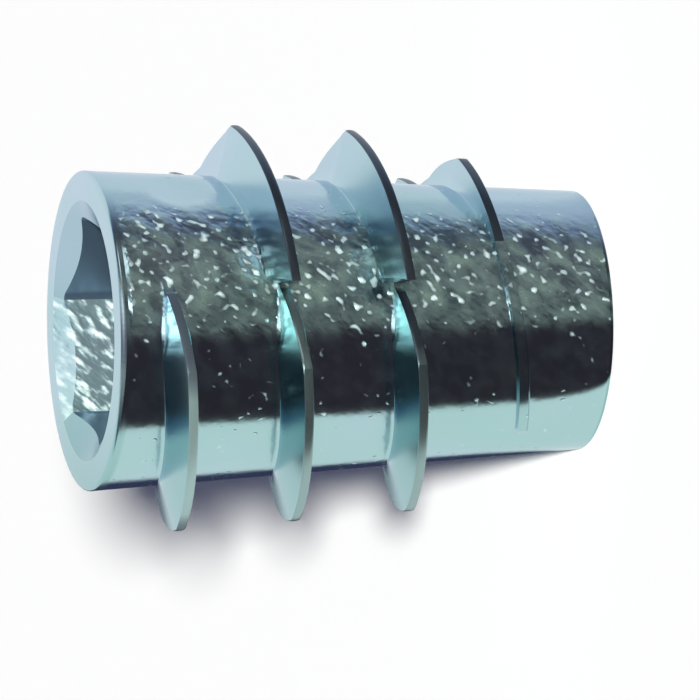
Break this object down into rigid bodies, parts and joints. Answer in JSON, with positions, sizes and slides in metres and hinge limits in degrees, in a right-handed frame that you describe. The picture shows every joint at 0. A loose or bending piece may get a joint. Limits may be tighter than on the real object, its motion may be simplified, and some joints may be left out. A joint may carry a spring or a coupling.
{
  "type": "threaded insert",
  "caption": "Tapered zinc insert for wood with a coarse fin thread outside, a hex socket in the drive end and a machine-thread bore through it.",
  "frame": {"origin": "centre of the lead-end face, on the insert's axis, where the insert stands", "axes": "+Z along the axis from the lead end up to the drive end with the hex socket; -Y is the side that the picture shows and +X is up in the picture"},
  "size_m": [0.0118, 0.0122, 0.015],
  "materials": {
    "zinc_plate": "bright blue-zinc plate on a die casting, with fine casting pits"
  },
  "bodies": {
    "root": {"threaded_insert": "zinc_plate"}
  },
  "joints": []
}
